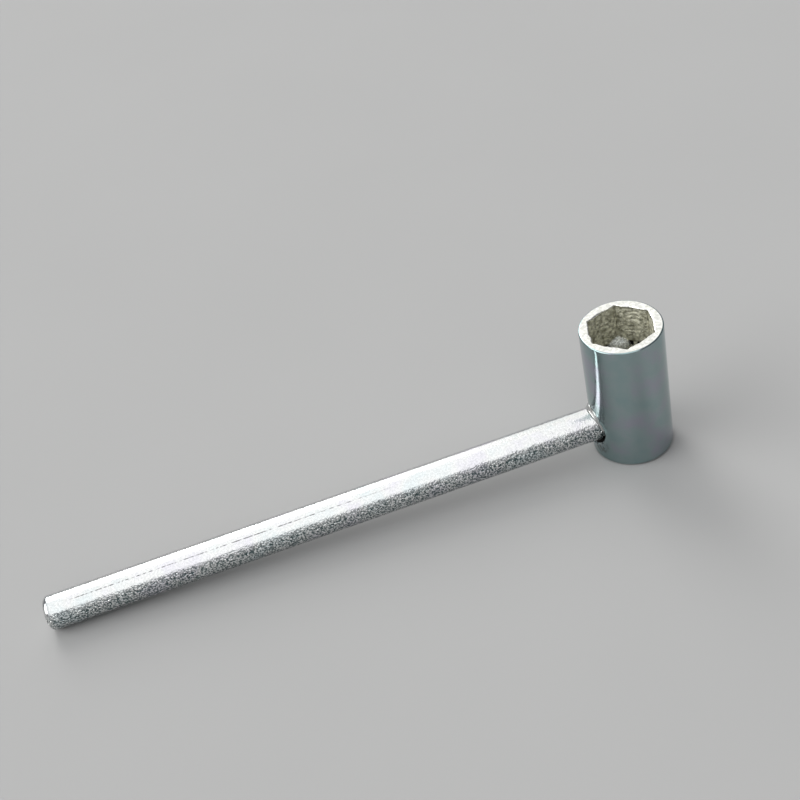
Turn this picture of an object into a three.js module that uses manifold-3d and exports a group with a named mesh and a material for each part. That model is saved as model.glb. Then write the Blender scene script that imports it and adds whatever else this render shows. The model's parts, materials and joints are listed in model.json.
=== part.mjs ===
// Guitar truss rod wrench: a turned socket with a broached hexagon, a round bar handle let into its side
// and the weld that joins them. Millimetres, +Z up the socket's axis from its base, handle along -X.
import * as THREE from "three";
import { mergeVertices } from "three/addons/utils/BufferGeometryUtils.js";
import Module from "manifold-3d";

// Socket
const SOCKET_HEIGHT = 20.1;
const CORNER_WALL = 0.93; // least wall, outside the hexagon's corners
const MOUTH_EDGE_RADIUS = 0.2;
const BASE_EDGE_RADIUS = 0.3;

// Hexagon, and the pilot hole that it is broached from
const ACROSS_FLATS = 8;
const HEX_DEPTH = 6.5;
const HEX_TURN = 17; // degrees from +X to a corner
const PILOT_OVERSIZE = 0.3; // pilot diameter over the flats
const PILOT_RUNOUT = 1.9; // pilot hole past the hexagon's foot
const DRILL_POINT = 118; // degrees, included

// Chip that the broach leaves curled at the foot of each corner
const CHIP_WIDTH = 2.5;
const CHIP_HEIGHT = 1.5;
const CHIP_REACH = 0.9; // inwards from the pilot hole's wall

// Handle and the cross hole that seats it
const OVERALL_LENGTH = 88.8; // handle tip to the socket's far side
const HANDLE_DIAMETER = 4.8;
const HANDLE_HEIGHT = 5.1; // handle's axis above the base
const TIP_RADIUS = 0.6;
const SEAT_CHAMFER = 0.5;
const SEAT_CLEARANCE = 0.28; // the cross hole's radius over the handle's, and past the handle's end
const SEAT_LOW = 0.12; // the cross hole's axis below the handle's
const SEAT_FORWARD = 0.14; // the cross hole's axis nearer -Y than the handle's
const FAR_WALL = 2; // left beyond the cross hole's point

// Weld fillet round the top and sides of the joint, open below
const WELD_LEG_ON_SOCKET = 0.6;
const WELD_LEG_ON_HANDLE = 0.4;
const WELD_HOLLOW = 0.3; // the face's pull towards the root, 0.5 being flat
const WELD_FRONT_END = 80; // degrees from straight up, towards -Y
const WELD_BACK_END = 115; // degrees from straight up, towards +Y
const WELD_END_SHARE = 0.7; // the legs' share left at either end
const WELD_GAP = 0.1;

// Facets
const SOCKET_FACETS = 96;
const HANDLE_FACETS = 64;
const EDGE_STEPS = 3; // half the steps of a rounded edge
const CHIP_FACETS = 16;
const WELD_SECTIONS = 40;
const WELD_FACE_STEPS = 6;
const WELD_TIE = 1e-3; // vertices nearer than this are one
const OVERCUT = 1; // how far a cutter stands out of what it cuts

const HEX_SIDES = 6;
const hexCornerRadius = ACROSS_FLATS / Math.sqrt(3);
const socketRadius = hexCornerRadius + CORNER_WALL;
const hexFoot = SOCKET_HEIGHT - HEX_DEPTH;
const pilotRadius = (ACROSS_FLATS + PILOT_OVERSIZE) / 2;
const pilotFoot = hexFoot - PILOT_RUNOUT;
const pointSlope = Math.tan(THREE.MathUtils.degToRad(90 - DRILL_POINT / 2));

const handleRadius = HANDLE_DIAMETER / 2;
const crossHoleRadius = handleRadius + SEAT_CLEARANCE;
const crossHoleEnd = socketRadius - FAR_WALL - crossHoleRadius * pointSlope;
const handleEnd = crossHoleEnd - SEAT_CLEARANCE;
const handleTip = socketRadius - OVERALL_LENGTH;

const wasm = await Module();
wasm.setup();

// A closed geometry as a solid that can be cut and joined
function toSolid(geometry) {
  const bare = new THREE.BufferGeometry();
  bare.setAttribute("position", geometry.getAttribute("position"));
  bare.setIndex(geometry.getIndex());
  const merged = mergeVertices(bare, WELD_TIE);
  const vertProperties = merged.getAttribute("position").array;
  const triVerts = new Uint32Array(merged.getIndex().array);
  return new wasm.Manifold(new wasm.Mesh({ numProp: 3, vertProperties, triVerts }));
}

function toGeometry(solid) {
  const mesh = solid.getMesh();
  const geometry = new THREE.BufferGeometry();
  geometry.setAttribute("position", new THREE.BufferAttribute(mesh.vertProperties, mesh.numProp));
  geometry.setIndex(new THREE.BufferAttribute(mesh.triVerts, 1));
  geometry.computeVertexNormals();
  return geometry;
}

// A path of (radius, height) points turned about +Z
function turned(path, facets) {
  return new THREE.LatheGeometry(path.getPoints(EDGE_STEPS), facets).rotateX(Math.PI / 2);
}

// A hole drilled down -Z: its wall from the foot up to the top, and the drill's cone below the foot
function drilled(radius, foot, top, facets) {
  const path = new THREE.Path();
  path.moveTo(0, foot - radius * pointSlope);
  path.lineTo(radius, foot);
  path.lineTo(radius, top);
  path.lineTo(0, top);
  return turned(path, facets);
}

function socketBlank() {
  const path = new THREE.Path();
  path.moveTo(0, 0);
  path.lineTo(socketRadius - BASE_EDGE_RADIUS, 0);
  path.absarc(socketRadius - BASE_EDGE_RADIUS, BASE_EDGE_RADIUS, BASE_EDGE_RADIUS, -Math.PI / 2, 0);
  const mouthEdge = SOCKET_HEIGHT - MOUTH_EDGE_RADIUS;
  path.absarc(socketRadius - MOUTH_EDGE_RADIUS, mouthEdge, MOUTH_EDGE_RADIUS, 0, Math.PI / 2);
  path.lineTo(0, SOCKET_HEIGHT);
  return turned(path, SOCKET_FACETS);
}

// The angles of the hexagon's corners about the socket's axis
const cornerAngles = Array.from({ length: HEX_SIDES }, (_, k) =>
  THREE.MathUtils.degToRad(HEX_TURN + (360 / HEX_SIDES) * k),
);

function hexBroach() {
  const corners = cornerAngles.map(
    (angle) => new THREE.Vector2(Math.cos(angle), Math.sin(angle)).multiplyScalar(hexCornerRadius),
  );
  const cut = { depth: HEX_DEPTH + OVERCUT, bevelEnabled: false };
  return new THREE.ExtrudeGeometry(new THREE.Shape(corners), cut).translate(0, 0, hexFoot);
}

// A rounded chip, half sunk in the ledge under its corner
function chip(angle) {
  return new THREE.SphereGeometry(1, CHIP_FACETS, CHIP_FACETS / 2)
    .scale(CHIP_REACH, CHIP_WIDTH / 2, CHIP_HEIGHT)
    .translate(pilotRadius, 0, hexFoot)
    .rotateZ(angle);
}

// Lays a geometry that was made along +Z on the handle's axis, pointing along -X
function alongHandle(geometry) {
  return geometry.rotateY(-Math.PI / 2).translate(0, 0, HANDLE_HEIGHT);
}

function socketGeometry() {
  const pilot = drilled(pilotRadius, pilotFoot, SOCKET_HEIGHT + OVERCUT, SOCKET_FACETS);
  const seat = drilled(crossHoleRadius, -crossHoleEnd, socketRadius + OVERCUT, HANDLE_FACETS);
  const crossHole = alongHandle(seat).translate(0, -SEAT_FORWARD, -SEAT_LOW);
  let socket = toSolid(socketBlank())
    .subtract(toSolid(pilot))
    .subtract(toSolid(hexBroach()))
    .subtract(toSolid(crossHole));
  for (const angle of cornerAngles) {
    socket = socket.add(toSolid(chip(angle)));
  }
  return toGeometry(socket);
}

// The bar from its chamfered end in the socket up to its rounded tip
function handleGeometry() {
  const length = handleEnd - handleTip;
  const path = new THREE.Path();
  path.moveTo(0, 0);
  path.lineTo(handleRadius - SEAT_CHAMFER, 0);
  path.lineTo(handleRadius, SEAT_CHAMFER);
  path.absarc(handleRadius - TIP_RADIUS, length - TIP_RADIUS, TIP_RADIUS, 0, Math.PI / 2);
  path.lineTo(0, length);
  return turned(path, HANDLE_FACETS);
}

// The weld's section at one angle round the handle: root, toe on the socket, hollow face, toe on the handle
function weldSection(angle, share) {
  const root = new THREE.Vector2(handleRadius + WELD_GAP, WELD_GAP);
  const legs = new THREE.Vector2(WELD_LEG_ON_SOCKET, WELD_LEG_ON_HANDLE).multiplyScalar(share);
  const face = new THREE.QuadraticBezierCurve(
    new THREE.Vector2(root.x + legs.x, root.y),
    root.clone().addScaledVector(legs, WELD_HOLLOW),
    new THREE.Vector2(root.x, root.y + legs.y),
  );
  return [root, ...face.getPoints(WELD_FACE_STEPS)].map(({ x: out, y: proud }) => {
    const across = out * Math.sin(angle);
    const wall = Math.sqrt(socketRadius ** 2 - across ** 2);
    return new THREE.Vector3(-wall - proud, across, HANDLE_HEIGHT + out * Math.cos(angle));
  });
}

// The sections lofted round the joint, thinner towards both ends, with a flat cap on each
function weldGeometry() {
  const rings = [];
  for (let i = 0; i <= WELD_SECTIONS; i++) {
    const along = i / WELD_SECTIONS;
    const angle = THREE.MathUtils.degToRad(THREE.MathUtils.lerp(-WELD_FRONT_END, WELD_BACK_END, along));
    const share = THREE.MathUtils.lerp(WELD_END_SHARE, 1, Math.sqrt(Math.sin(Math.PI * along)));
    rings.push(weldSection(angle, share));
  }
  const count = rings[0].length;
  const faces = [];
  for (let i = 0; i < WELD_SECTIONS; i++) {
    for (let j = 0; j < count; j++) {
      const a = i * count + j;
      const b = i * count + ((j + 1) % count);
      faces.push(a, a + count, b, b, a + count, b + count);
    }
  }
  const last = WELD_SECTIONS * count;
  for (let j = 1; j < count - 1; j++) {
    faces.push(0, j, j + 1, last, last + j + 1, last + j);
  }
  const geometry = new THREE.BufferGeometry().setFromPoints(rings.flat());
  geometry.setIndex(faces);
  geometry.computeVertexNormals();
  return geometry;
}

function zinc(color, roughness) {
  return new THREE.MeshStandardMaterial({ color, roughness, metalness: 1 });
}

const socket = new THREE.Mesh(socketGeometry(), zinc(0xb9c2c6, 0.22));
socket.name = "socket";

const handle = new THREE.Mesh(handleGeometry(), zinc(0xc9cfd2, 0.34));
handle.name = "handle_rod";
handle.position.set(handleEnd, 0, HANDLE_HEIGHT);
handle.rotation.y = -Math.PI / 2;

const weld = new THREE.Mesh(weldGeometry(), zinc(0xb4b8b6, 0.4));
weld.name = "weld_bead";

const wrench = new THREE.Group();
wrench.add(socket, handle, weld);

export default wrench;
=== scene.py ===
"""Guitar truss rod wrench: the zinc finish of its socket, handle and weld, on a pale floor in soft light."""
import json
import math

import bpy
import numpy as np
from mathutils import Matrix, Vector, noise


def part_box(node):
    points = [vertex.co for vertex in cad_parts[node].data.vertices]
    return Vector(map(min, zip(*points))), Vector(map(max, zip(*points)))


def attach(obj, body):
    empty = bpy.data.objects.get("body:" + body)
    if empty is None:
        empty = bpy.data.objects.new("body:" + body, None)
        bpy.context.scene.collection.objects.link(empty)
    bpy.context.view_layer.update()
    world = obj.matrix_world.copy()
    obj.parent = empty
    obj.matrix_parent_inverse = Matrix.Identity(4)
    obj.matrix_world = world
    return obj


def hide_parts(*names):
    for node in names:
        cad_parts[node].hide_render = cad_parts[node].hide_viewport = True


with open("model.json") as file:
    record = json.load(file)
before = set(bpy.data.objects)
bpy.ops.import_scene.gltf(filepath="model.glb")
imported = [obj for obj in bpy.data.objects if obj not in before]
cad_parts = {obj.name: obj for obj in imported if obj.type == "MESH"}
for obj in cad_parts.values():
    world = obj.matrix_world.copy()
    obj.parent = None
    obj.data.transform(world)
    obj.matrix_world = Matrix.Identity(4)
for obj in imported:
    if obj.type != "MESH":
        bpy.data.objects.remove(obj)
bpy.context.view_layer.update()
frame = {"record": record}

MM = 0.001
TAU = 2 * math.pi

# Sizes that the frame gives
socket_low, socket_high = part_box("socket")
handle_low, handle_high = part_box("handle_rod")
mounts = {mount["name"]: mount for mount in frame["record"]["mounts"]}
flat_normal = Vector(mounts["hex_flat_back"]["axis"])
SOCKET_RADIUS = socket_high.x
SOCKET_HEIGHT = socket_high.z
HALF_FLATS = -flat_normal.dot(Vector(mounts["hex_flat_back"]["pos_m"]))
FLAT_ANGLE = math.atan2(-flat_normal.y, -flat_normal.x)
HANDLE_RADIUS = (handle_high.y - handle_low.y) / 2
HANDLE_HEIGHT = (handle_high.z + handle_low.z) / 2
HANDLE_TIP = handle_low.x
HANDLE_END = handle_high.x

# Socket's edges, hexagon and pilot hole
BASE_EDGE = 0.3 * MM
MOUTH_EDGE = 0.2 * MM
SIXTH_TURN = TAU / 6
HEX_DEPTH = 6.5 * MM
HEX_FOOT = SOCKET_HEIGHT - HEX_DEPTH
PILOT_RADIUS = 4.15 * MM
PILOT_RUNOUT = 1.9 * MM
PILOT_FOOT = HEX_FOOT - PILOT_RUNOUT
DRILL_SLOPE = math.radians(31)
PILOT_POINT = PILOT_FOOT - PILOT_RADIUS * math.tan(DRILL_SLOPE)
LEDGE_STEP = 0.01 * MM

# Nicks in the mouth's inner edge
BORE_EDGE = 0.16 * MM
NICK_MEAN, NICK_FINE_SHARE = 1.2, 0.7
NICK_SIZE = 1.4 * MM
NICK_FINE_SIZE = NICK_SIZE / 3

# Chip at the foot of each corner, and the gap beside it, painted with shade, in shares of the chip's size
CHIP_REACH = 0.9 * MM
CHIP_HALF_WIDTH = 1.45 * MM
CHIP_HEIGHT = 1.1 * MM
CHIP_SQUARENESS = 2.6
CHIP_GAP_AT, CHIP_GAP_WIDTH, CHIP_GAP_TOP = 1.1, 0.16, 0.5
CHIP_GAP_DEPTH = 0.5 * MM
# Share of the gap past which its faces take the near-black painted shade
CHIP_GAP_SHADE_FROM = 0.4

# Torn broached walls, and the drill's rings on the round strips between them
TORN_DEPTH = 0.14 * MM
TORN_SIZE = 0.5 * MM
TORN_FINE_SIZE = TORN_SIZE / 2.1
TORN_FINE_SHARE = 0.6
TORN_STRIP_SHARE = 0.4
TORN_FADE = 0.5 * MM
CORNER_RELIEF = 0.14 * MM
DRILL_MARK_DEPTH = 0.12 * MM
DRILL_MARK_PITCH = 0.75 * MM
DRILL_MARK_WIDTH = 0.16
DRILL_MARK_MEAN = 0.8
DRILL_FADE_SIZE = 1.6 * DRILL_MARK_PITCH
DRILL_WANDER = 0.8
DRILL_WANDER_SIZE = 2.5 * DRILL_MARK_PITCH

# Cross hole: a little large and low for the handle, with a lip pushed up round its lower front edge
HOLE_CLEARANCE = 0.28 * MM
HOLE_OFFSET = Vector((0, -0.14, -0.12)) * MM
HOLE_SPARE = 0.2 * MM
HOLE_END = HANDLE_END + HOLE_SPARE
HOLE_OVERCUT = 2 * MM
LIP_HEIGHT = 0.2 * MM
LIP_WIDTH = 0.14 * MM
LIP_LEAST = 0.4
LIP_START, LIP_SLANT = 0.5, 0.8
LUMP_HEIGHT = 0.09 * MM
LUMP_SIZE = 0.5 * MM
LUMP_REACH = 1.5 * MM

# Handle: rounded tip, shallow dents, a peel on all but its smooth top, and the drawing die's line
TIP_EDGE = 0.9 * MM
SEAT_CHAMFER = 0.5 * MM
DENT_DEPTH = 0.012 * MM
DENT_SIZE = 2.6 * MM
PEEL_DEPTH = 0.04 * MM
PEEL_SIZE = 0.3 * MM
PEEL_START, PEEL_FULL = math.radians(34), math.radians(58)
PEEL_LEAST = 0.1
SMOOTH_TOP_MIDDLE = math.radians(-12)
DIE_LINE_ANGLE = math.radians(-24.5)
DIE_LINE_DEPTH = 0.03 * MM
DIE_LINE_WIDTH = 0.13 * MM
DIE_LINE_START = 3 * MM
DIE_LINE_LENGTH = 52 * MM
DIE_LINE_FADE = 14 * MM
DIE_LINE_BREAK = 0.5 * MM
DIE_LINE_MEAN, DIE_LINE_CONTRAST = 0.4, 2

# Weld
WELD_LEG_ON_SOCKET = 0.5 * MM
WELD_LEG_ON_HANDLE = 0.34 * MM
WELD_HOLLOW = 0.3
WELD_SINK = 0.12 * MM
WELD_SEAM = 0.16 * MM
WELD_FRONT_END = math.radians(-80)
WELD_BACK_END = math.radians(115)
WELD_END_SHARE = 0.3
WELD_LUMP = 0.09 * MM
WELD_LUMP_SIZE = 0.9 * MM

# Shifts that keep one noise apart from another
NICK_SHIFT, NICK_FINE_SHIFT = 4.4, 9.1
TORN_FINE_SHIFT, DRILL_WANDER_SHIFT, DRILL_FADE_SHIFT = 7.3, 3.1, 8.7
LUMP_SHIFT = 5.2
DENT_SHIFT, PEEL_SHIFT, DIE_LINE_SHIFT = 11.7, 2.9, 6.6

# Mesh steps
SOCKET_STEPS = 300
BASE_RINGS = 14
JOINT_RINGS = 84
UPPER_WALL_RINGS = 30
MOUTH_RINGS = 9
BORE_RINGS = 72
PILOT_RINGS = 14
POINT_RINGS = 16
EDGE_RINGS = 6
CENTRE_SHARE = 0.05
HOLE_STEPS = 96
HANDLE_STEPS = 160
HANDLE_RING_PITCH = 0.14 * MM
SEAT_RINGS = 8
SEAT_END_SHARES = (0.1, 0.5, 1)
SEAT_COARSE_END = SOCKET_RADIUS - 1 * MM
TIP_EDGE_RINGS = 9
TIP_FACE_RINGS = 11
TIP_CENTRE_SHARE = 0.06
WELD_SECTIONS = 96
WELD_FACE_STEPS = 14
SHARP_EDGE = math.radians(38)

# Tones of the plate, and of the near-black painted shade in the cross hole and beside the chips
# The socket's wall and base use a darker copy of the handle's plate: real teal, grey and violet tints, with
# painted shade for the darkness
SHADED_TEAL, SHADED_GREY, SHADED_VIOLET = (0.28, 0.38, 0.385), (0.32, 0.40, 0.405), (0.36, 0.375, 0.43)
COOL, BRIGHT, LILAC = (0.66, 0.70, 0.71), (0.72, 0.725, 0.72), (0.69, 0.68, 0.72)
WARM, DULL, ASHEN = (0.73, 0.73, 0.70), (0.58, 0.58, 0.56), (0.47, 0.49, 0.49)
OLIVE, STRAW = (0.24, 0.235, 0.175), (0.76, 0.75, 0.62)
HOLLOW_SHADE, WARM_HOLLOW_SHADE = (0.02, 0.02, 0.02), (0.045, 0.04, 0.035)

# Noise that makes zinc's tints, grain and the painted shade and glint of its flecks: levels, detail and
# roughness
TINT_START, TINT_END = 0.34, 0.66
TINT_DETAIL, TINT_ROUGHNESS = 3, 0.55
GRAIN_DETAIL, GRAIN_ROUGHNESS = 1, 0.5
CLOUD_DETAIL = 2
FLECK_SHADE_BELOW, FLECK_GLINT_ABOVE = 0.35, 0.65

# Where the handle's grain and its painted fleck shade are calm, the painted shade in the die line, and the
# spotted painted shade under the joint
SMOOTH_TOP_EDGE, COARSE_SIDE_EDGE = math.radians(42), math.radians(74)
SMOOTH_TOP_GRAIN_AND_SHADE = 0.1
SMOOTH_TOP_DRIFT = 1.2 * MM
SMOOTH_TOP_RAGGED = 0.4
BACK_GRAIN_AND_SHADE = 0.5
# Painted shade that darkens the die line's groove
DIE_LINE_SHADE = (0.12, 0.12, 0.13)
DIE_LINE_SOFT = 0.4
DIE_LINE_LEAD_IN = 2 * MM
DIE_LINE_BARE, DIE_LINE_WHOLE = 0.36, 0.66
# Painted shade in spots on the wall just under the handle's joint
JOINT_SHADE_TONE = (0.16, 0.17, 0.17)
JOINT_SHADE_FORWARD, JOINT_SHADE_LOW = 1.6 * MM, 2.6 * MM
JOINT_SHADE_REACH = 1.9 * MM
JOINT_SHADE_SPOT = 0.35 * MM
JOINT_SHADE_DETAIL = 1
JOINT_SHADE_BARE, JOINT_SHADE_WHOLE = 0.42, 0.6

# Floor
FLOOR_TONE = 0.38
FLOOR_CLOUD = 0.02
FLOOR_CLOUD_SIZE = 40 * MM
FLOOR_ROUGHNESS = 0.85
FLOOR_SPECULAR = 0.2
FLOOR_HALF_SIZE = 6

# Sky: its tone at the horizon and above, and the heights between which it changes
HORIZON_TONE, ZENITH_TONE = (0.28, 0.28, 0.29), (0.24, 0.24, 0.25)
HORIZON_TOP, ZENITH_START = 0.02, 0.2

# Light panels: first and last degrees from straight up towards -Y, left and right along X, and colour
PANEL_EDGE = math.radians(4)
LOW_IN_FRONT = (50, 76, -0.36, 0.31, (0.7, 0.71, 0.72))
OVERHEAD = (-35, 60, -0.36, 0.31, (1.37, 1.38, 1.38))
OVERHEAD_LEFT = (-35, 60, -0.62, -0.36, (1.0, 1.01, 1.03))
BEHIND_RIGHT = (-82, -30, 0.0, 0.46, (1.22, 1.22, 1.2))
BEHIND_LEFT = (-75, -35, -0.34, 0.05, (6.0, 5.95, 5.85))
FAR_LEFT = (-40, 40, -0.95, -0.62, (4.2, 4.2, 4.12))

# Camera, from the photograph's perspective
CAMERA_EYE = Vector((-44.05, -126.13, 129.0)) * MM
CAMERA_LOOK = Vector((0.0817, 0.7555, -0.6501))
CAMERA_RIGHT = Vector((0.9425, -0.2706, -0.1961))
CAMERA_LENS = 58.65
CAMERA_SENSOR = 36
CAMERA_NEAR = 10 * MM


# Meshes


def grain(points, size, shift=0.0):
    """Smooth noise from -1 to 1 at each point of an array, with lumps about one size across."""
    flat = (points / size + shift).reshape(-1, 3)
    return np.array([noise.noise(Vector(point)) for point in flat]).reshape(points.shape[:-1])


def turned_points(radius, height, angles):
    """Points about +Z, from radius and height by ring and angle."""
    return np.stack([radius * np.cos(angles), radius * np.sin(angles), height], axis=-1)


def turned_mesh(name, radius, height, angles, parts, materials):
    """A closed mesh of rings about +Z, from radius, height and material index by ring and angle."""
    rings, steps = radius.shape
    points = turned_points(radius, height, angles).reshape(-1, 3)
    first = (0.0, 0.0, float(height[0].mean()))
    last = (0.0, 0.0, float(height[-1].mean()))
    faces, slots = [], []
    for ring in range(rings - 1):
        for step in range(steps):
            beside = (step + 1) % steps
            low, high = ring * steps, (ring + 1) * steps
            faces.append((low + step, low + beside, high + beside, high + step))
            slots.append(parts[ring + 1][step])
    start, end = len(points), len(points) + 1
    top = (rings - 1) * steps
    for step in range(steps):
        beside = (step + 1) % steps
        faces.append((start, beside, step))
        slots.append(parts[0][step])
        faces.append((end, top + step, top + beside))
        slots.append(parts[-1][step])
    mesh = bpy.data.meshes.new(name)
    mesh.from_pydata([*map(tuple, points), first, last], [], faces)
    for material in materials:
        mesh.materials.append(material)
    mesh.polygons.foreach_set("material_index", slots)
    return mesh


def new_piece(mesh, node_name):
    """Puts a mesh in the scene as the piece that stands for a CAD node."""
    piece = bpy.data.objects.new(mesh.name, mesh)
    bpy.context.scene.collection.objects.link(piece)
    mesh.shade_smooth()
    mesh.set_sharp_from_angle(angle=SHARP_EDGE)
    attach(piece, "root")
    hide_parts(node_name)
    return piece


def handle_frame():
    """Takes +Z of a turned mesh to -X, along the handle from the socket's axis."""
    return Matrix.Translation((0, 0, HANDLE_HEIGHT)) @ Matrix.Rotation(-math.pi / 2, 4, "Y")


# Socket

# The last part marks faces painted near-black as shade, in the cross hole and beside the chips
WALL, MOUTH, BORE, BASE, CHIP, SHADED_HOLLOW = range(6)


def hex_radius(angle):
    """Distance from the axis to the hexagon's side at an angle."""
    from_flat = (angle - FLAT_ANGLE + SIXTH_TURN / 2) % SIXTH_TURN - SIXTH_TURN / 2
    return HALF_FLATS / np.cos(from_flat)


def nicked_edge(angles):
    """The size of the rounding round the mouth's inner edge, uneven where the broach nicked it."""
    around = turned_points(SOCKET_RADIUS, np.zeros(angles.shape), angles)
    nicks = grain(around, NICK_SIZE, NICK_SHIFT)
    fine_nicks = grain(around, NICK_FINE_SIZE, NICK_FINE_SHIFT)
    return BORE_EDGE * (NICK_MEAN + nicks + NICK_FINE_SHARE * fine_nicks)


def socket_rings(angles):
    """Rings from the base's centre, up the wall, over the mouth and down the bore to the drill's point."""
    bore = np.maximum(hex_radius(angles), PILOT_RADIUS)
    edge = nicked_edge(angles)
    pilot = PILOT_RADIUS - LEDGE_STEP
    quarter = np.linspace(0, math.pi / 2, EDGE_RINGS)
    rings = []

    def add(radius, height, part):
        rings.append([np.broadcast_to(value, angles.shape) for value in (radius, height, part)])

    for share in np.linspace(CENTRE_SHARE, 1, BASE_RINGS)[:-1]:
        add(share * (SOCKET_RADIUS - BASE_EDGE), 0, BASE)
    for turn in quarter:
        add(SOCKET_RADIUS - BASE_EDGE * (1 - math.sin(turn)), BASE_EDGE * (1 - math.cos(turn)), WALL)
    joint_top = HANDLE_HEIGHT + 2 * HANDLE_RADIUS
    for height in np.linspace(BASE_EDGE, joint_top, JOINT_RINGS)[1:]:
        add(SOCKET_RADIUS, height, WALL)
    for height in np.linspace(joint_top, SOCKET_HEIGHT - MOUTH_EDGE, UPPER_WALL_RINGS)[1:-1]:
        add(SOCKET_RADIUS, height, WALL)
    for turn in quarter:
        drop = MOUTH_EDGE * (1 - math.sin(turn))
        add(SOCKET_RADIUS - MOUTH_EDGE * (1 - math.cos(turn)), SOCKET_HEIGHT - drop, WALL)
    for share in np.linspace(0, 1, MOUTH_RINGS)[1:-1]:
        add((1 - share) * (SOCKET_RADIUS - MOUTH_EDGE) + share * (bore + edge), SOCKET_HEIGHT, MOUTH)
    for turn in quarter:
        add(bore + edge * (1 - math.sin(turn)), SOCKET_HEIGHT - edge * (1 - math.cos(turn)), MOUTH)
    for height in np.linspace(SOCKET_HEIGHT - edge, HEX_FOOT, BORE_RINGS)[1:]:
        add(bore, height, BORE)
    for share in (0.5, 1):
        add((1 - share) * bore + share * pilot, HEX_FOOT - share * LEDGE_STEP, BORE)
    for height in np.linspace(HEX_FOOT, PILOT_FOOT, PILOT_RINGS)[1:]:
        add(pilot, height, BORE)
    for share in np.linspace(1, CENTRE_SHARE, POINT_RINGS)[1:]:
        add(share * pilot, PILOT_FOOT + (1 - share) * (PILOT_POINT - PILOT_FOOT), BORE)
    radius, height, parts = zip(*rings)
    return np.array(radius), np.array(height), np.array(parts)


def roughen_bore(radius, height, parts, angles):
    """Tears the broached walls, relieves their corners and rings the round strips between them."""
    points = turned_points(radius, height, angles)
    torn = grain(points, TORN_SIZE) + TORN_FINE_SHARE * grain(points, TORN_FINE_SIZE, TORN_FINE_SHIFT)
    wander = DRILL_WANDER * grain(points, DRILL_WANDER_SIZE, DRILL_WANDER_SHIFT)
    from_ring = (height / DRILL_MARK_PITCH + wander) % 1 - 0.5
    ring_depth = DRILL_MARK_MEAN + grain(points, DRILL_FADE_SIZE, DRILL_FADE_SHIFT)
    rings = np.exp(-((from_ring / DRILL_MARK_WIDTH) ** 2)) * ring_depth
    corner = np.isclose(hex_radius(angles), HALF_FLATS / math.cos(SIXTH_TURN / 2))
    strip = hex_radius(angles) <= PILOT_RADIUS
    ringed = TORN_STRIP_SHARE * TORN_DEPTH * torn + DRILL_MARK_DEPTH * rings
    push = np.where(strip, ringed, TORN_DEPTH * torn)
    push = np.where(corner & (height > HEX_FOOT), CORNER_RELIEF, push)
    fade = np.clip((SOCKET_HEIGHT - height) / TORN_FADE, 0, 1) * np.clip(radius / PILOT_RADIUS, 0, 1)
    return radius + np.where(parts == BORE, push * fade, 0)


def add_chips(radius, height, parts, angles):
    """Pushes the bore's wall in at the foot of each corner, where the broach left a curled chip."""
    from_corner = (angles - FLAT_ANGLE) % SIXTH_TURN - SIXTH_TURN / 2
    across = PILOT_RADIUS * np.sin(from_corner) / CHIP_HALF_WIDTH
    up = (height - HEX_FOOT) / CHIP_HEIGHT
    rise = 1 - np.abs(across) ** CHIP_SQUARENESS - up**2
    chip = PILOT_RADIUS - CHIP_REACH * np.sqrt(np.clip(rise, 0, None))
    from_gap = (np.hypot(across, up) - CHIP_GAP_AT) / CHIP_GAP_WIDTH
    gap = np.exp(-(from_gap**2)) * (np.abs(up) < CHIP_GAP_TOP)
    radius = radius + np.where(parts == BORE, CHIP_GAP_DEPTH * gap, 0)
    # Faces deep in the gap take the near-black painted shade
    parts = np.where((parts == BORE) & (gap > CHIP_GAP_SHADE_FROM), SHADED_HOLLOW, parts)
    proud = np.isin(parts, (BORE, SHADED_HOLLOW)) & (rise > 0) & (chip < radius)
    return np.where(proud, chip, radius), np.where(proud, CHIP, parts)


def raise_lip(radius, height, parts, angles):
    """Lifts the wall in a narrow ring and lumps of plating, round the front lower part of the cross hole."""
    across = radius * np.sin(angles) - HOLE_OFFSET.y
    up = height - HANDLE_HEIGHT - HOLE_OFFSET.z
    edge = np.hypot(across, up) - HANDLE_RADIUS - HOLE_CLEARANCE
    lumps = (1 + grain(turned_points(radius, height, angles), LUMP_SIZE, LUMP_SHIFT)) / 2
    ring = LIP_HEIGHT * np.exp(-(((edge - LIP_WIDTH) / LIP_WIDTH) ** 2)) * (LIP_LEAST + lumps)
    spread = LUMP_HEIGHT * lumps * np.exp(-((edge / LUMP_REACH) ** 2)) * (edge > 0)
    facing = np.cos(angles) < 0
    lower_front = np.clip(LIP_START - (across + LIP_SLANT * up) / HANDLE_RADIUS, 0, 1)
    return radius + np.where((parts == WALL) & facing, (ring + spread) * lower_front, 0)


def cross_hole(materials):
    """A cutter for the handle's seat, drilled along +X from outside the socket's wall."""
    angles = np.arange(HOLE_STEPS) * TAU / HOLE_STEPS
    outside = SOCKET_RADIUS + HOLE_OVERCUT
    radius = np.full((2, HOLE_STEPS), HANDLE_RADIUS + HOLE_CLEARANCE)
    height = np.stack([np.full(HOLE_STEPS, -HOLE_END), np.full(HOLE_STEPS, outside)])
    # The cutter's faces line the cross hole's inside with near-black painted shade
    mesh = turned_mesh("cross_hole_cutter", radius, height, angles, np.full(radius.shape, SHADED_HOLLOW), materials)
    cutter = bpy.data.objects.new("cross_hole_cutter", mesh)
    bpy.context.scene.collection.objects.link(cutter)
    cutter.matrix_world = handle_frame() @ Matrix.Translation((HOLE_OFFSET.z, HOLE_OFFSET.y, 0))
    return cutter


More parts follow.
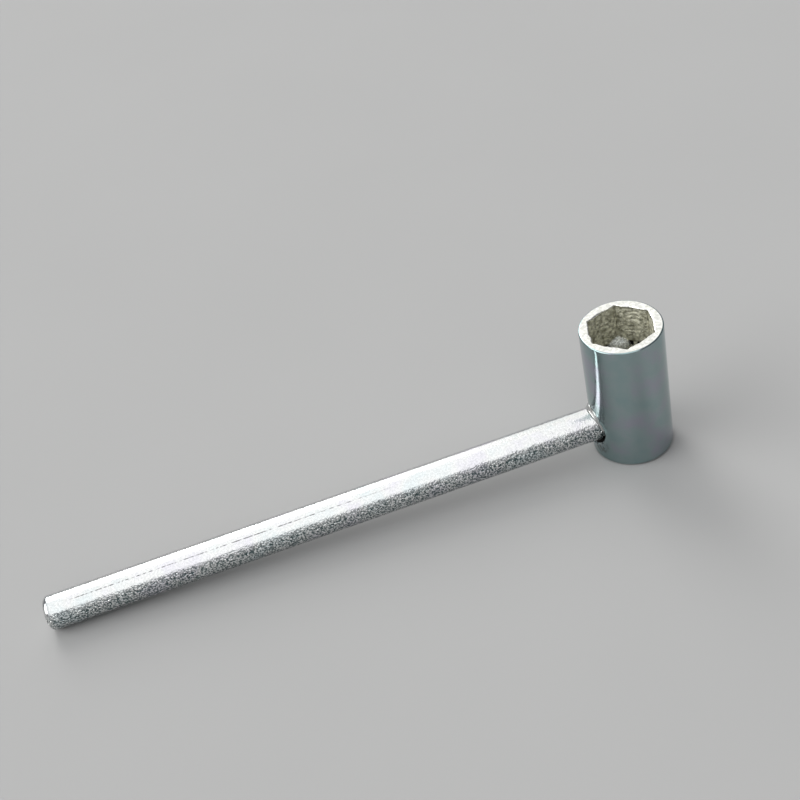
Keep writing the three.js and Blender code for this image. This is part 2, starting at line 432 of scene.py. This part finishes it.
def cut(piece, cutter):
    """Cuts one mesh out of another for good."""
    modifier = piece.modifiers.new("cut", "BOOLEAN")
    modifier.operation = "DIFFERENCE"
    modifier.solver = "EXACT"
    modifier.object = cutter
    bpy.context.view_layer.update()
    graph = bpy.context.evaluated_depsgraph_get()
    whole = piece.data
    result = bpy.data.meshes.new_from_object(piece.evaluated_get(graph))
    piece.modifiers.remove(modifier)
    piece.data = result
    result.name = whole.name
    bpy.data.meshes.remove(whole)
    bpy.data.objects.remove(cutter)
    result.shade_smooth()
    result.set_sharp_from_angle(angle=SHARP_EDGE)


def make_socket(materials):
    """The turned socket, broached at the mouth and drilled at the side."""
    corner = FLAT_ANGLE + SIXTH_TURN / 2
    angles = corner + np.arange(SOCKET_STEPS) * TAU / SOCKET_STEPS
    radius, height, parts = socket_rings(angles)
    radius = roughen_bore(radius, height, parts, angles)
    radius, parts = add_chips(radius, height, parts, angles)
    radius = raise_lip(radius, height, parts, angles)
    mesh = turned_mesh("zinc_socket", radius, height, angles, parts, materials)
    piece = new_piece(mesh, "socket")
    cut(piece, cross_hole(materials))


# Handle


def handle_profile():
    """Radius and height of each ring, from the chamfered end in the socket to the rounded tip."""
    seat, tip = -HANDLE_END, -HANDLE_TIP
    shaft_end = tip - TIP_EDGE
    fine_rings = round((shaft_end - SEAT_COARSE_END) / HANDLE_RING_PITCH)
    profile = [(share * (HANDLE_RADIUS - SEAT_CHAMFER), seat) for share in SEAT_END_SHARES]
    for height in np.linspace(seat + SEAT_CHAMFER, SEAT_COARSE_END, SEAT_RINGS):
        profile.append((HANDLE_RADIUS, height))
    for height in np.linspace(SEAT_COARSE_END, shaft_end, fine_rings)[1:]:
        profile.append((HANDLE_RADIUS, height))
    for turn in np.linspace(0, math.pi / 2, TIP_EDGE_RINGS)[1:]:
        inwards = TIP_EDGE * (1 - math.cos(turn))
        profile.append((HANDLE_RADIUS - inwards, shaft_end + TIP_EDGE * math.sin(turn)))
    for share in np.linspace(1, TIP_CENTRE_SHARE, TIP_FACE_RINGS)[1:]:
        profile.append((share * (HANDLE_RADIUS - TIP_EDGE), tip))
    return profile


def make_handle(material):
    """The drawn bar, grainy but for its top, with the die's broken line scratched along it."""
    angles = DIE_LINE_ANGLE + np.arange(HANDLE_STEPS) * TAU / HANDLE_STEPS
    profile = handle_profile()
    radius = np.array([[r] * HANDLE_STEPS for r, _ in profile])
    height = np.array([[h] * HANDLE_STEPS for _, h in profile])
    on_shaft = np.isclose(radius[:, 0], HANDLE_RADIUS)
    points = turned_points(radius, height, angles)
    dents = (1 + grain(points, DENT_SIZE, DENT_SHIFT)) / 2
    peel = (1 + grain(points, PEEL_SIZE, PEEL_SHIFT)) / 2
    from_smooth = np.abs((angles - SMOOTH_TOP_MIDDLE + math.pi) % TAU - math.pi)
    coarse = np.clip((from_smooth - PEEL_START) / (PEEL_FULL - PEEL_START), PEEL_LEAST, 1)
    hollow = DENT_DEPTH * dents + PEEL_DEPTH * peel * coarse
    radius = radius - hollow * (radius / HANDLE_RADIUS)
    from_tip = -HANDLE_TIP - height[:, 0]
    fade = np.clip((DIE_LINE_LENGTH - from_tip) / DIE_LINE_FADE, 0, 1)
    fade = fade * (from_tip > DIE_LINE_START) * on_shaft
    scratch = DIE_LINE_CONTRAST * grain(points[:, 0], DIE_LINE_BREAK, DIE_LINE_SHIFT)
    radius[:, 0] -= DIE_LINE_DEPTH * fade * np.clip(DIE_LINE_MEAN + scratch, 0, 1)
    mesh = turned_mesh("zinc_handle", radius, height, angles, np.zeros(radius.shape, int), [material])
    mesh.transform(handle_frame())
    new_piece(mesh, "handle_rod")


# Weld


def weld_section(angle, swell):
    """One closed section at an angle round the handle: a root sunk in the joint, then the hollow face."""
    leg_on_socket, leg_on_handle = WELD_LEG_ON_SOCKET * swell, WELD_LEG_ON_HANDLE * swell
    root = HANDLE_RADIUS + WELD_SEAM
    outline = [(root, -WELD_SINK), (root + leg_on_socket, -WELD_SINK)]
    for t in np.linspace(0, 1, WELD_FACE_STEPS):
        pull = 2 * t * (1 - t) * WELD_HOLLOW
        out = root + leg_on_socket * ((1 - t) ** 2 + pull)
        proud = leg_on_handle * (t**2 + pull)
        outline.append((out, proud))
    section = []
    for out, proud in outline:
        across, up = out * math.sin(angle), out * math.cos(angle)
        wall = math.sqrt(SOCKET_RADIUS**2 - across**2)
        point = Vector((-wall - proud, across, HANDLE_HEIGHT + up))
        if proud > 0:
            point.x -= WELD_LUMP * swell * (1 + noise.noise(point / WELD_LUMP_SIZE)) / 2
        section.append(tuple(point))
    return section


def make_weld(material):
    """A hollow fillet lofted round the joint, lumpy and thinner towards both ends."""
    sections = []
    for along in np.linspace(0, 1, WELD_SECTIONS):
        angle = WELD_FRONT_END + along * (WELD_BACK_END - WELD_FRONT_END)
        swell = WELD_END_SHARE + (1 - WELD_END_SHARE) * math.sqrt(math.sin(math.pi * along))
        sections.append(weld_section(angle, swell))
    count = len(sections[0])
    points = [point for section in sections for point in section]
    faces = []
    for section in range(WELD_SECTIONS - 1):
        for step in range(count):
            a, b = section * count + step, section * count + (step + 1) % count
            faces.append((a, a + count, b + count, b))
    last = (WELD_SECTIONS - 1) * count
    faces.append(tuple(range(count)))
    faces.append(tuple(last + step for step in reversed(range(count))))
    mesh = bpy.data.meshes.new("zinc_weld")
    mesh.from_pydata(points, [], faces)
    mesh.materials.append(material)
    new_piece(mesh, "weld_bead")


# Shader nodes


def node(tree, kind, inputs=None, **settings):
    """Adds a shader node, with each input set to a value or linked to another node's output."""
    made = tree.nodes.new(kind)
    for name, value in settings.items():
        setattr(made, name, value)
    for name, value in (inputs or {}).items():
        if isinstance(value, bpy.types.NodeSocket):
            tree.links.new(value, made.inputs[name])
        else:
            made.inputs[name].default_value = value
    return made


def calculate(tree, operation, first, second=0.0):
    """The result of a maths node on numbers or outputs."""
    return node(tree, "ShaderNodeMath", {0: first, 1: second}, operation=operation).outputs["Value"]


def soft_step(tree, value, low, high):
    """0 below low, 1 above high, and a smooth rise between them."""
    settings = {"Value": value, "From Min": low, "From Max": high}
    return node(tree, "ShaderNodeMapRange", settings, interpolation_type="SMOOTHSTEP").outputs["Result"]


def cloud(tree, place, size, detail=CLOUD_DETAIL, **settings):
    """Noise about 0.5 with lumps about one size across."""
    inputs = {"Vector": place, "Scale": 1 / size, "Detail": detail, **settings}
    return node(tree, "ShaderNodeTexNoise", inputs).outputs["Fac"]


def mix(tree, share, first, second, blend="MIX"):
    """One colour over another by a share, each given as numbers or an output."""
    inputs = {"Factor": share}
    for index, colour in ((6, first), (7, second)):
        inputs[index] = (*colour, 1) if isinstance(colour, tuple) else colour
    return node(tree, "ShaderNodeMix", inputs, data_type="RGBA", blend_type=blend).outputs[2]


# Materials


def zinc(
    name, tones, tint_size, shine, grain_size, grain_depth, metallic=1.0, fleck_shade_and_glint=None, where=None, mark=None
):
    """Passivated zinc plate: drifting tints, uneven shine and a fine grain.

    A pair of dark and light flecks, painted shade in the grain's hollows and a painted glint on its bumps,
    may follow the grain; where says how strong grain and flecks are from place to place, and a mark may paint
    shade in.
    """
    material = bpy.data.materials.new(name)
    material.use_nodes = True
    tree = material.node_tree
    tree.nodes.clear()
    place = node(tree, "ShaderNodeTexCoord").outputs["Object"]
    tints = cloud(tree, place, tint_size, TINT_DETAIL, Roughness=TINT_ROUGHNESS)
    grains = cloud(tree, place, grain_size, GRAIN_DETAIL, Roughness=GRAIN_ROUGHNESS)
    ramp = node(tree, "ShaderNodeValToRGB", {"Fac": tints})
    stops = ramp.color_ramp.elements
    for index, tone in enumerate(tones):
        at = TINT_START + (TINT_END - TINT_START) * index / (len(tones) - 1)
        stop = stops[index] if index < 2 else stops.new(at)
        stop.position, stop.color = at, (*tone, 1)
    colour = ramp.outputs["Color"]
    strength = where(tree, place) if where else 1.0
    # Dark flecks in the grain's hollows are painted shade, light flecks on its bumps a painted glint
    if fleck_shade_and_glint:
        shade = mix(tree, soft_step(tree, grains, FLECK_SHADE_BELOW, FLECK_GLINT_ABOVE), *fleck_shade_and_glint)
        colour = mix(tree, strength, colour, shade, "MULTIPLY")
    if mark:
        colour = mark(tree, place, colour)
    least, most = shine
    dullness = {"Value": tints, "From Min": TINT_START, "From Max": TINT_END, "To Min": least, "To Max": most}
    roughness = node(tree, "ShaderNodeMapRange", dullness).outputs["Result"]
    bumps = {"Height": grains, "Distance": grain_depth, "Strength": strength}
    normal = node(tree, "ShaderNodeBump", bumps).outputs["Normal"]
    finish = {"Base Color": colour, "Metallic": metallic, "Roughness": roughness, "Normal": normal}
    surface = node(tree, "ShaderNodeBsdfPrincipled", finish).outputs["BSDF"]
    node(tree, "ShaderNodeOutputMaterial", {"Surface": surface})
    return material


def shade_under_joint(tree, place, colour):
    """Painted shade in spots just under the front of the joint."""
    centre = (-SOCKET_RADIUS, HOLE_OFFSET.y - JOINT_SHADE_FORWARD, HANDLE_HEIGHT - JOINT_SHADE_LOW)
    apart = node(tree, "ShaderNodeVectorMath", {0: place, 1: centre}, operation="DISTANCE").outputs["Value"]
    near = soft_step(tree, apart, JOINT_SHADE_REACH, JOINT_SHADE_REACH / 2)
    spots = soft_step(tree, cloud(tree, place, JOINT_SHADE_SPOT, JOINT_SHADE_DETAIL), JOINT_SHADE_BARE, JOINT_SHADE_WHOLE)
    return mix(tree, calculate(tree, "MULTIPLY", near, spots), colour, JOINT_SHADE_TONE)


def turn_from_top(tree, axes, middle):
    """The angle round the handle, either way from a middle that is given from straight up towards +Y."""
    up = calculate(tree, "SUBTRACT", axes["Z"], HANDLE_HEIGHT)
    turn = calculate(tree, "ARCTAN2", axes["Y"], up)
    return calculate(tree, "ABSOLUTE", calculate(tree, "SUBTRACT", turn, middle))


def off_the_top(tree, place):
    """Low along the handle's smooth top, rising with a ragged edge to 1 in front and to less behind; it
    scales the grain's bumps and its painted fleck shade, so the top is lighter and the front darker.
    """
    axes = node(tree, "ShaderNodeSeparateXYZ", {"Vector": place}).outputs
    turn = turn_from_top(tree, axes, SMOOTH_TOP_MIDDLE)
    drift = cloud(tree, place, SMOOTH_TOP_DRIFT)
    ragged = calculate(tree, "ADD", turn, calculate(tree, "MULTIPLY", drift, SMOOTH_TOP_RAGGED))
    sides = soft_step(tree, ragged, SMOOTH_TOP_EDGE, COARSE_SIDE_EDGE)
    coarse = node(tree, "ShaderNodeMapRange", {"Value": sides, "To Min": SMOOTH_TOP_GRAIN_AND_SHADE}).outputs["Result"]
    towards_back = {"Value": axes["Y"], "From Max": HANDLE_RADIUS, "To Min": 1.0, "To Max": BACK_GRAIN_AND_SHADE}
    back = node(tree, "ShaderNodeMapRange", towards_back).outputs["Result"]
    return calculate(tree, "MULTIPLY", coarse, back)


def die_line_shade(tree, place, colour):
    """Paints shade into the scratch that the drawing die left along the handle, broken here and there."""
    axes = node(tree, "ShaderNodeSeparateXYZ", {"Vector": place}).outputs
    half_width = DIE_LINE_WIDTH / 2 / HANDLE_RADIUS
    off_line = turn_from_top(tree, axes, DIE_LINE_ANGLE)
    on_line = soft_step(tree, off_line, half_width * (1 + DIE_LINE_SOFT), half_width * (1 - DIE_LINE_SOFT))
    start, end = HANDLE_TIP + DIE_LINE_START, HANDLE_TIP + DIE_LINE_LENGTH
    started = soft_step(tree, axes["X"], start, start + DIE_LINE_LEAD_IN)
    lasting = soft_step(tree, axes["X"], end, end - DIE_LINE_FADE)
    whole = soft_step(tree, cloud(tree, place, DIE_LINE_BREAK), DIE_LINE_BARE, DIE_LINE_WHOLE)
    amount = on_line
    for share in (lasting, started, whole):
        amount = calculate(tree, "MULTIPLY", amount, share)
    return mix(tree, amount, colour, DIE_LINE_SHADE)


def make_socket_materials():
    """Materials in the order of the socket's parts."""
    # The wall's darkness is painted shade, over its real tints
    wall = zinc(
        "socket_wall_zinc",
        (SHADED_TEAL, SHADED_GREY, SHADED_VIOLET),
        tint_size=4 * MM,
        shine=(0.11, 0.17),
        grain_size=0.5 * MM,
        grain_depth=0.004 * MM,
        # Spotted painted shade under the joint
        mark=shade_under_joint,
    )
    mouth = zinc(
        "mouth_zinc",
        (WARM, BRIGHT),
        tint_size=1 * MM,
        shine=(0.15, 0.22),
        grain_size=0.5 * MM,
        grain_depth=0.03 * MM,
        # Faint painted shade and glint in the mouth's grain
        fleck_shade_and_glint=((0.94, 0.94, 0.92), (1.14, 1.14, 1.12)),
    )
    bore = zinc(
        "bore_zinc",
        (OLIVE, STRAW),
        tint_size=0.5 * MM,
        shine=(0.5, 0.75),
        grain_size=0.24 * MM,
        grain_depth=0.12 * MM,
        metallic=0.4,
    )
    # The base has the wall's darker copy of the plate, painted shade over real tints
    base = zinc(
        "base_zinc",
        (SHADED_TEAL, SHADED_GREY),
        tint_size=3 * MM,
        shine=(0.26, 0.36),
        grain_size=0.3 * MM,
        grain_depth=0.02 * MM,
    )
    chip = zinc(
        "chip_zinc",
        (COOL, BRIGHT),
        tint_size=0.4 * MM,
        shine=(0.45, 0.6),
        grain_size=0.24 * MM,
        grain_depth=0.08 * MM,
        metallic=0.4,
        # Painted shade and glint in the chip's grain
        fleck_shade_and_glint=((0.66, 0.66, 0.64), (1.25, 1.25, 1.22)),
    )
    # Near-black painted shade for the cross hole's inside and the gaps beside the chips
    seat = zinc(
        "hollow_painted_shade",
        (HOLLOW_SHADE, WARM_HOLLOW_SHADE),
        tint_size=0.6 * MM,
        shine=(0.55, 0.75),
        grain_size=0.2 * MM,
        grain_depth=0.05 * MM,
        metallic=0.3,
    )
    return [wall, mouth, bore, base, chip, seat]


def make_handle_material():
    return zinc(
        "handle_zinc",
        (COOL, BRIGHT, LILAC),
        tint_size=4 * MM,
        shine=(0.12, 0.18),
        grain_size=0.24 * MM,
        grain_depth=0.24 * MM,
        # Painted shade and glint in the grain, strongest in front and weak along the top
        fleck_shade_and_glint=((0.13, 0.19, 0.195), (1.25, 1.25, 1.24)),
        where=off_the_top,
        # Painted shade in the die line's groove
        mark=die_line_shade,
    )


def make_weld_material():
    return zinc(
        "weld_zinc",
        (DULL, ASHEN),
        tint_size=1.2 * MM,
        shine=(0.28, 0.38),
        grain_size=0.3 * MM,
        grain_depth=0.05 * MM,
    )


# Stage


def make_floor():
    """A plain pale floor that touches the socket's base edge and the handle's tip."""
    tip_contact = Vector((HANDLE_TIP + TIP_EDGE, 0, HANDLE_HEIGHT - HANDLE_RADIUS))
    base_contact = Vector((BASE_EDGE - SOCKET_RADIUS, 0, 0))
    along = (base_contact - tip_contact).normalized()
    across = Vector((0, 1, 0))
    corners = [
        base_contact + FLOOR_HALF_SIZE * (x * along + y * across)
        for x, y in ((-1, -1), (1, -1), (1, 1), (-1, 1))
    ]
    mesh = bpy.data.meshes.new("floor")
    mesh.from_pydata(corners, [], [(0, 1, 2, 3)])
    floor = bpy.data.objects.new("floor", mesh)
    bpy.context.scene.collection.objects.link(floor)
    material = bpy.data.materials.new("pale_floor")
    material.use_nodes = True
    tree = material.node_tree
    place = node(tree, "ShaderNodeTexCoord").outputs["Object"]
    clouds = cloud(tree, place, FLOOR_CLOUD_SIZE)
    low, high = FLOOR_TONE * (1 - FLOOR_CLOUD), FLOOR_TONE * (1 + FLOOR_CLOUD)
    tone = node(tree, "ShaderNodeMapRange", {"Value": clouds, "To Min": low, "To Max": high})
    shader = tree.nodes["Principled BSDF"]
    tree.links.new(tone.outputs["Result"], shader.inputs["Base Color"])
    shader.inputs["Roughness"].default_value = FLOOR_ROUGHNESS
    shader.inputs["Specular IOR Level"].default_value = FLOOR_SPECULAR
    mesh.materials.append(material)


def between(tree, value, low, high):
    """1 between two bounds, with soft edges."""
    above = soft_step(tree, value, low - PANEL_EDGE, low + PANEL_EDGE)
    below = soft_step(tree, value, high + PANEL_EDGE, high - PANEL_EDGE)
    return calculate(tree, "MULTIPLY", above, below)


def make_light():
    """A dim sky with soft panels low in front, overhead, behind the wrench and past its handle's tip."""
    world = bpy.data.worlds.new("studio")
    bpy.context.scene.world = world
    world.use_nodes = True
    tree = world.node_tree
    tree.nodes.clear()
    direction = node(tree, "ShaderNodeTexCoord").outputs["Generated"]
    axes = node(tree, "ShaderNodeSeparateXYZ", {"Vector": direction}).outputs
    towards_camera = calculate(tree, "MULTIPLY", axes["Y"], -1.0)
    tilt = calculate(tree, "ARCTAN2", towards_camera, axes["Z"])
    height = soft_step(tree, axes["Z"], HORIZON_TOP, ZENITH_START)
    sky = mix(tree, height, HORIZON_TONE, ZENITH_TONE)
    for panel in (LOW_IN_FRONT, OVERHEAD, OVERHEAD_LEFT, BEHIND_RIGHT, BEHIND_LEFT, FAR_LEFT):
        low, high, left, right, colour = panel
        tall = between(tree, tilt, math.radians(low), math.radians(high))
        wide = between(tree, axes["X"], left, right)
        sky = mix(tree, calculate(tree, "MULTIPLY", tall, wide), sky, colour)
    background = node(tree, "ShaderNodeBackground", {"Color": sky}).outputs["Background"]
    node(tree, "ShaderNodeOutputWorld", {"Surface": background})


def make_camera():
    """The photograph's camera."""
    data = bpy.data.cameras.new("camera")
    data.sensor_width = CAMERA_SENSOR
    data.lens = CAMERA_LENS
    data.clip_start = CAMERA_NEAR
    camera = bpy.data.objects.new("camera", data)
    bpy.context.scene.collection.objects.link(camera)
    look = CAMERA_LOOK.normalized()
    up = CAMERA_RIGHT.cross(look).normalized()
    right = look.cross(up)
    turn = Matrix((right, up, -look)).transposed().to_4x4()
    camera.matrix_world = Matrix.Translation(CAMERA_EYE) @ turn
    bpy.context.scene.camera = camera


def main():
    bpy.context.scene.view_settings.view_transform = "Standard"
    make_camera()
    make_socket(make_socket_materials())
    make_handle(make_handle_material())
    make_weld(make_weld_material())
    make_floor()
    make_light()


main()
